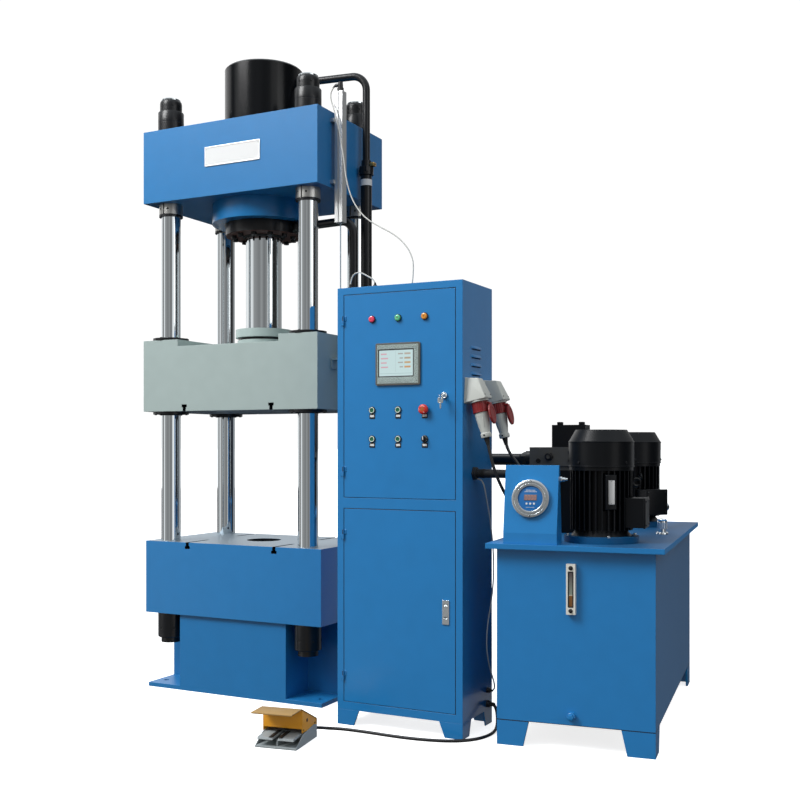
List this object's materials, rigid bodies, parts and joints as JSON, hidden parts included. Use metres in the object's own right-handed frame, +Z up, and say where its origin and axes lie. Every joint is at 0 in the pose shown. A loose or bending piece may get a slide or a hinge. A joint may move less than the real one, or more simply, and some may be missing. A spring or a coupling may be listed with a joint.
{
  "type": "hydraulic press",
  "caption": "Four-column hydraulic press with moving slide and ram, control cabinet, hydraulic power unit and foot switch.",
  "frame": {"origin": "on the floor under the ram's axis, at the centre of the anchor bolts", "axes": "+X to the right towards the cabinet, +Y to the back, +Z up along the ram"},
  "size_m": [2.5926, 2.0194, 3.061],
  "materials": {
    "blue_paint": "glossy enamel with slight orange peel",
    "cabinet_paint": "satin powder coat",
    "grey_paint": "satin enamel, light grey-green",
    "motor_paint": "black paint",
    "yellow_paint": "yellow powder coat",
    "pedal_grey": "grey powder coat",
    "hard_chrome": "ground and hard chromed",
    "bright_chrome": "bright chrome",
    "black_oxide": "blackened steel, oiled",
    "ground_steel": "ground steel",
    "galvanised": "galvanised sheet",
    "bronze": "turned bronze",
    "sensor_aluminium": "satin anodised",
    "black_plastic": "matt black plastic",
    "screen_grey": "grey bezel, glossy screen",
    "lamp_lens": "coloured lens in a black ring",
    "green_plastic": "green button",
    "red_plastic": "red plastic",
    "grey_plastic": "light grey plastic",
    "grey_cable": "smooth grey sheath",
    "black_cable": "black rubber sheath"
  },
  "bodies": {
    "frame": {"pedestal": "blue_paint", "press_table": "blue_paint", "columns": "hard_chrome", "column_nuts": "black_oxide", "column_collars": "ground_steel", "crown": "blue_paint", "main_cylinder": "black_oxide", "gland_ring": "black_oxide", "position_sensor": "sensor_aluminium", "pipes": "black_oxide", "pipe_unions": "black_oxide", "cabinet_shell": "cabinet_paint", "cabinet_feet": "cabinet_paint", "control_panel": "galvanised", "door_hinges": "black_plastic", "wall_sockets": "grey_plastic", "plugs": "grey_plastic", "oil_tank": "blue_paint", "tank_feet": "blue_paint", "tank_lid": "blue_paint", "level_gauge": "sensor_aluminium", "gauge_console": "blue_paint", "pressure_gauge": "bright_chrome", "motor_front": "motor_paint", "motor_rear": "motor_paint", "valve_block": "black_oxide", "pedal_base": "pedal_grey", "pedal_hood": "yellow_paint", "sensor_cable": "grey_cable", "thin_cables": "grey_cable", "pedal_cable": "black_cable", "power_cables": "black_cable"},
    "slide": {"slide_block": "grey_paint", "guide_bushes": "bronze", "guide_flanges": "black_oxide", "ram": "hard_chrome", "ram_flange": "grey_paint", "sensor_rod": "ground_steel"},
    "upper_door": {"upper_door": "cabinet_paint", "touch_screen": "screen_grey", "pilot_lamps": "lamp_lens", "panel_bezels": "black_plastic"},
    "start_button": {"start_button": "green_plastic"},
    "stop_button": {"stop_button": "green_plastic"},
    "up_button": {"up_button": "green_plastic"},
    "down_button": {"down_button": "green_plastic"},
    "emergency_button": {"emergency_button": "red_plastic"},
    "selector": {"selector_knob": "black_plastic"},
    "door_key": {"door_key": "bright_chrome"},
    "lower_door": {"lower_door": "cabinet_paint", "latch_plate": "bright_chrome"},
    "latch_lever": {"latch_lever": "bright_chrome"},
    "socket_lid_front": {"socket_lid_front": "red_plastic"},
    "socket_lid_rear": {"socket_lid_rear": "red_plastic"},
    "fan_front": {"motor_front_fan": "black_plastic"},
    "fan_rear": {"motor_rear_fan": "black_plastic"},
    "treadle_left": {"treadle_left": "pedal_grey"},
    "treadle_right": {"treadle_right": "pedal_grey"}
  },
  "joints": [
    {"name": "slide_travel", "type": "slide", "parent": "frame", "child": "slide", "axis": [0, 0, 1], "range_m": [-0.23, 0.32]},
    {"name": "upper_door_swing", "type": "hinge", "parent": "frame", "child": "upper_door", "pos_m": [0.72875, -0.481, 1.4], "axis": [0, 0, -1], "range_deg": [0, 110]},
    {"name": "lower_door_swing", "type": "hinge", "parent": "frame", "child": "lower_door", "pos_m": [0.72875, -0.481, 0.5], "axis": [0, 0, -1], "range_deg": [0, 80]},
    {"name": "latch_lever_pull", "type": "hinge", "parent": "lower_door", "child": "latch_lever", "pos_m": [1.209, -0.4725, 0.541], "axis": [-1, 0, 0], "range_deg": [0, 45], "stiffness_Nm_per_rad": 0.05},
    {"name": "selector_turn", "type": "hinge", "parent": "upper_door", "child": "selector", "pos_m": [1.1135, -0.476, 1.223], "axis": [0, -1, 0], "range_deg": [-45, 45]},
    {"name": "key_turn", "type": "hinge", "parent": "upper_door", "child": "door_key", "pos_m": [1.202, -0.476, 1.401], "axis": [0, -1, 0], "range_deg": [0, 90]},
    {"name": "emergency_push", "type": "slide", "parent": "upper_door", "child": "emergency_button", "axis": [0, 1, 0], "range_m": [0, 0.004], "stiffness_N_per_m": 400},
    {"name": "start_push", "type": "slide", "parent": "upper_door", "child": "start_button", "axis": [0, 1, 0], "range_m": [0, 0.004], "stiffness_N_per_m": 400},
    {"name": "stop_push", "type": "slide", "parent": "upper_door", "child": "stop_button", "axis": [0, 1, 0], "range_m": [0, 0.004], "stiffness_N_per_m": 400},
    {"name": "up_push", "type": "slide", "parent": "upper_door", "child": "up_button", "axis": [0, 1, 0], "range_m": [0, 0.004], "stiffness_N_per_m": 400},
    {"name": "down_push", "type": "slide", "parent": "upper_door", "child": "down_button", "axis": [0, 1, 0], "range_m": [0, 0.004], "stiffness_N_per_m": 400},
    {"name": "lid_front_swing", "type": "hinge", "parent": "frame", "child": "socket_lid_front", "pos_m": [1.37218, -0.42, 1.37138], "axis": [0, -1, 0], "range_deg": [0, 60], "stiffness_Nm_per_rad": 0.1},
    {"name": "lid_rear_swing", "type": "hinge", "parent": "frame", "child": "socket_lid_rear", "pos_m": [1.37218, -0.215, 1.37138], "axis": [0, -1, 0], "range_deg": [0, 60], "stiffness_Nm_per_rad": 0.1},
    {"name": "fan_front_spin", "type": "hinge", "parent": "frame", "child": "fan_front", "pos_m": [1.78174, -0.20973, 1.18], "axis": [0, 0, 1], "continuous": true},
    {"name": "fan_rear_spin", "type": "hinge", "parent": "frame", "child": "fan_rear", "pos_m": [1.67874, 0.70851, 1.18], "axis": [0, 0, 1], "continuous": true},
    {"name": "treadle_left_press", "type": "hinge", "parent": "frame", "child": "treadle_left", "pos_m": [0.65345, -0.80453, 0.044], "axis": [0.9877, 0.1564, 0], "range_deg": [0, 5], "stiffness_Nm_per_rad": 60, "springref_deg": -2.86},
    {"name": "treadle_right_press", "type": "hinge", "parent": "frame", "child": "treadle_right", "pos_m": [0.65345, -0.80453, 0.044], "axis": [0.9877, 0.1564, 0], "range_deg": [0, 5], "stiffness_Nm_per_rad": 60, "springref_deg": -2.86}
  ]
}
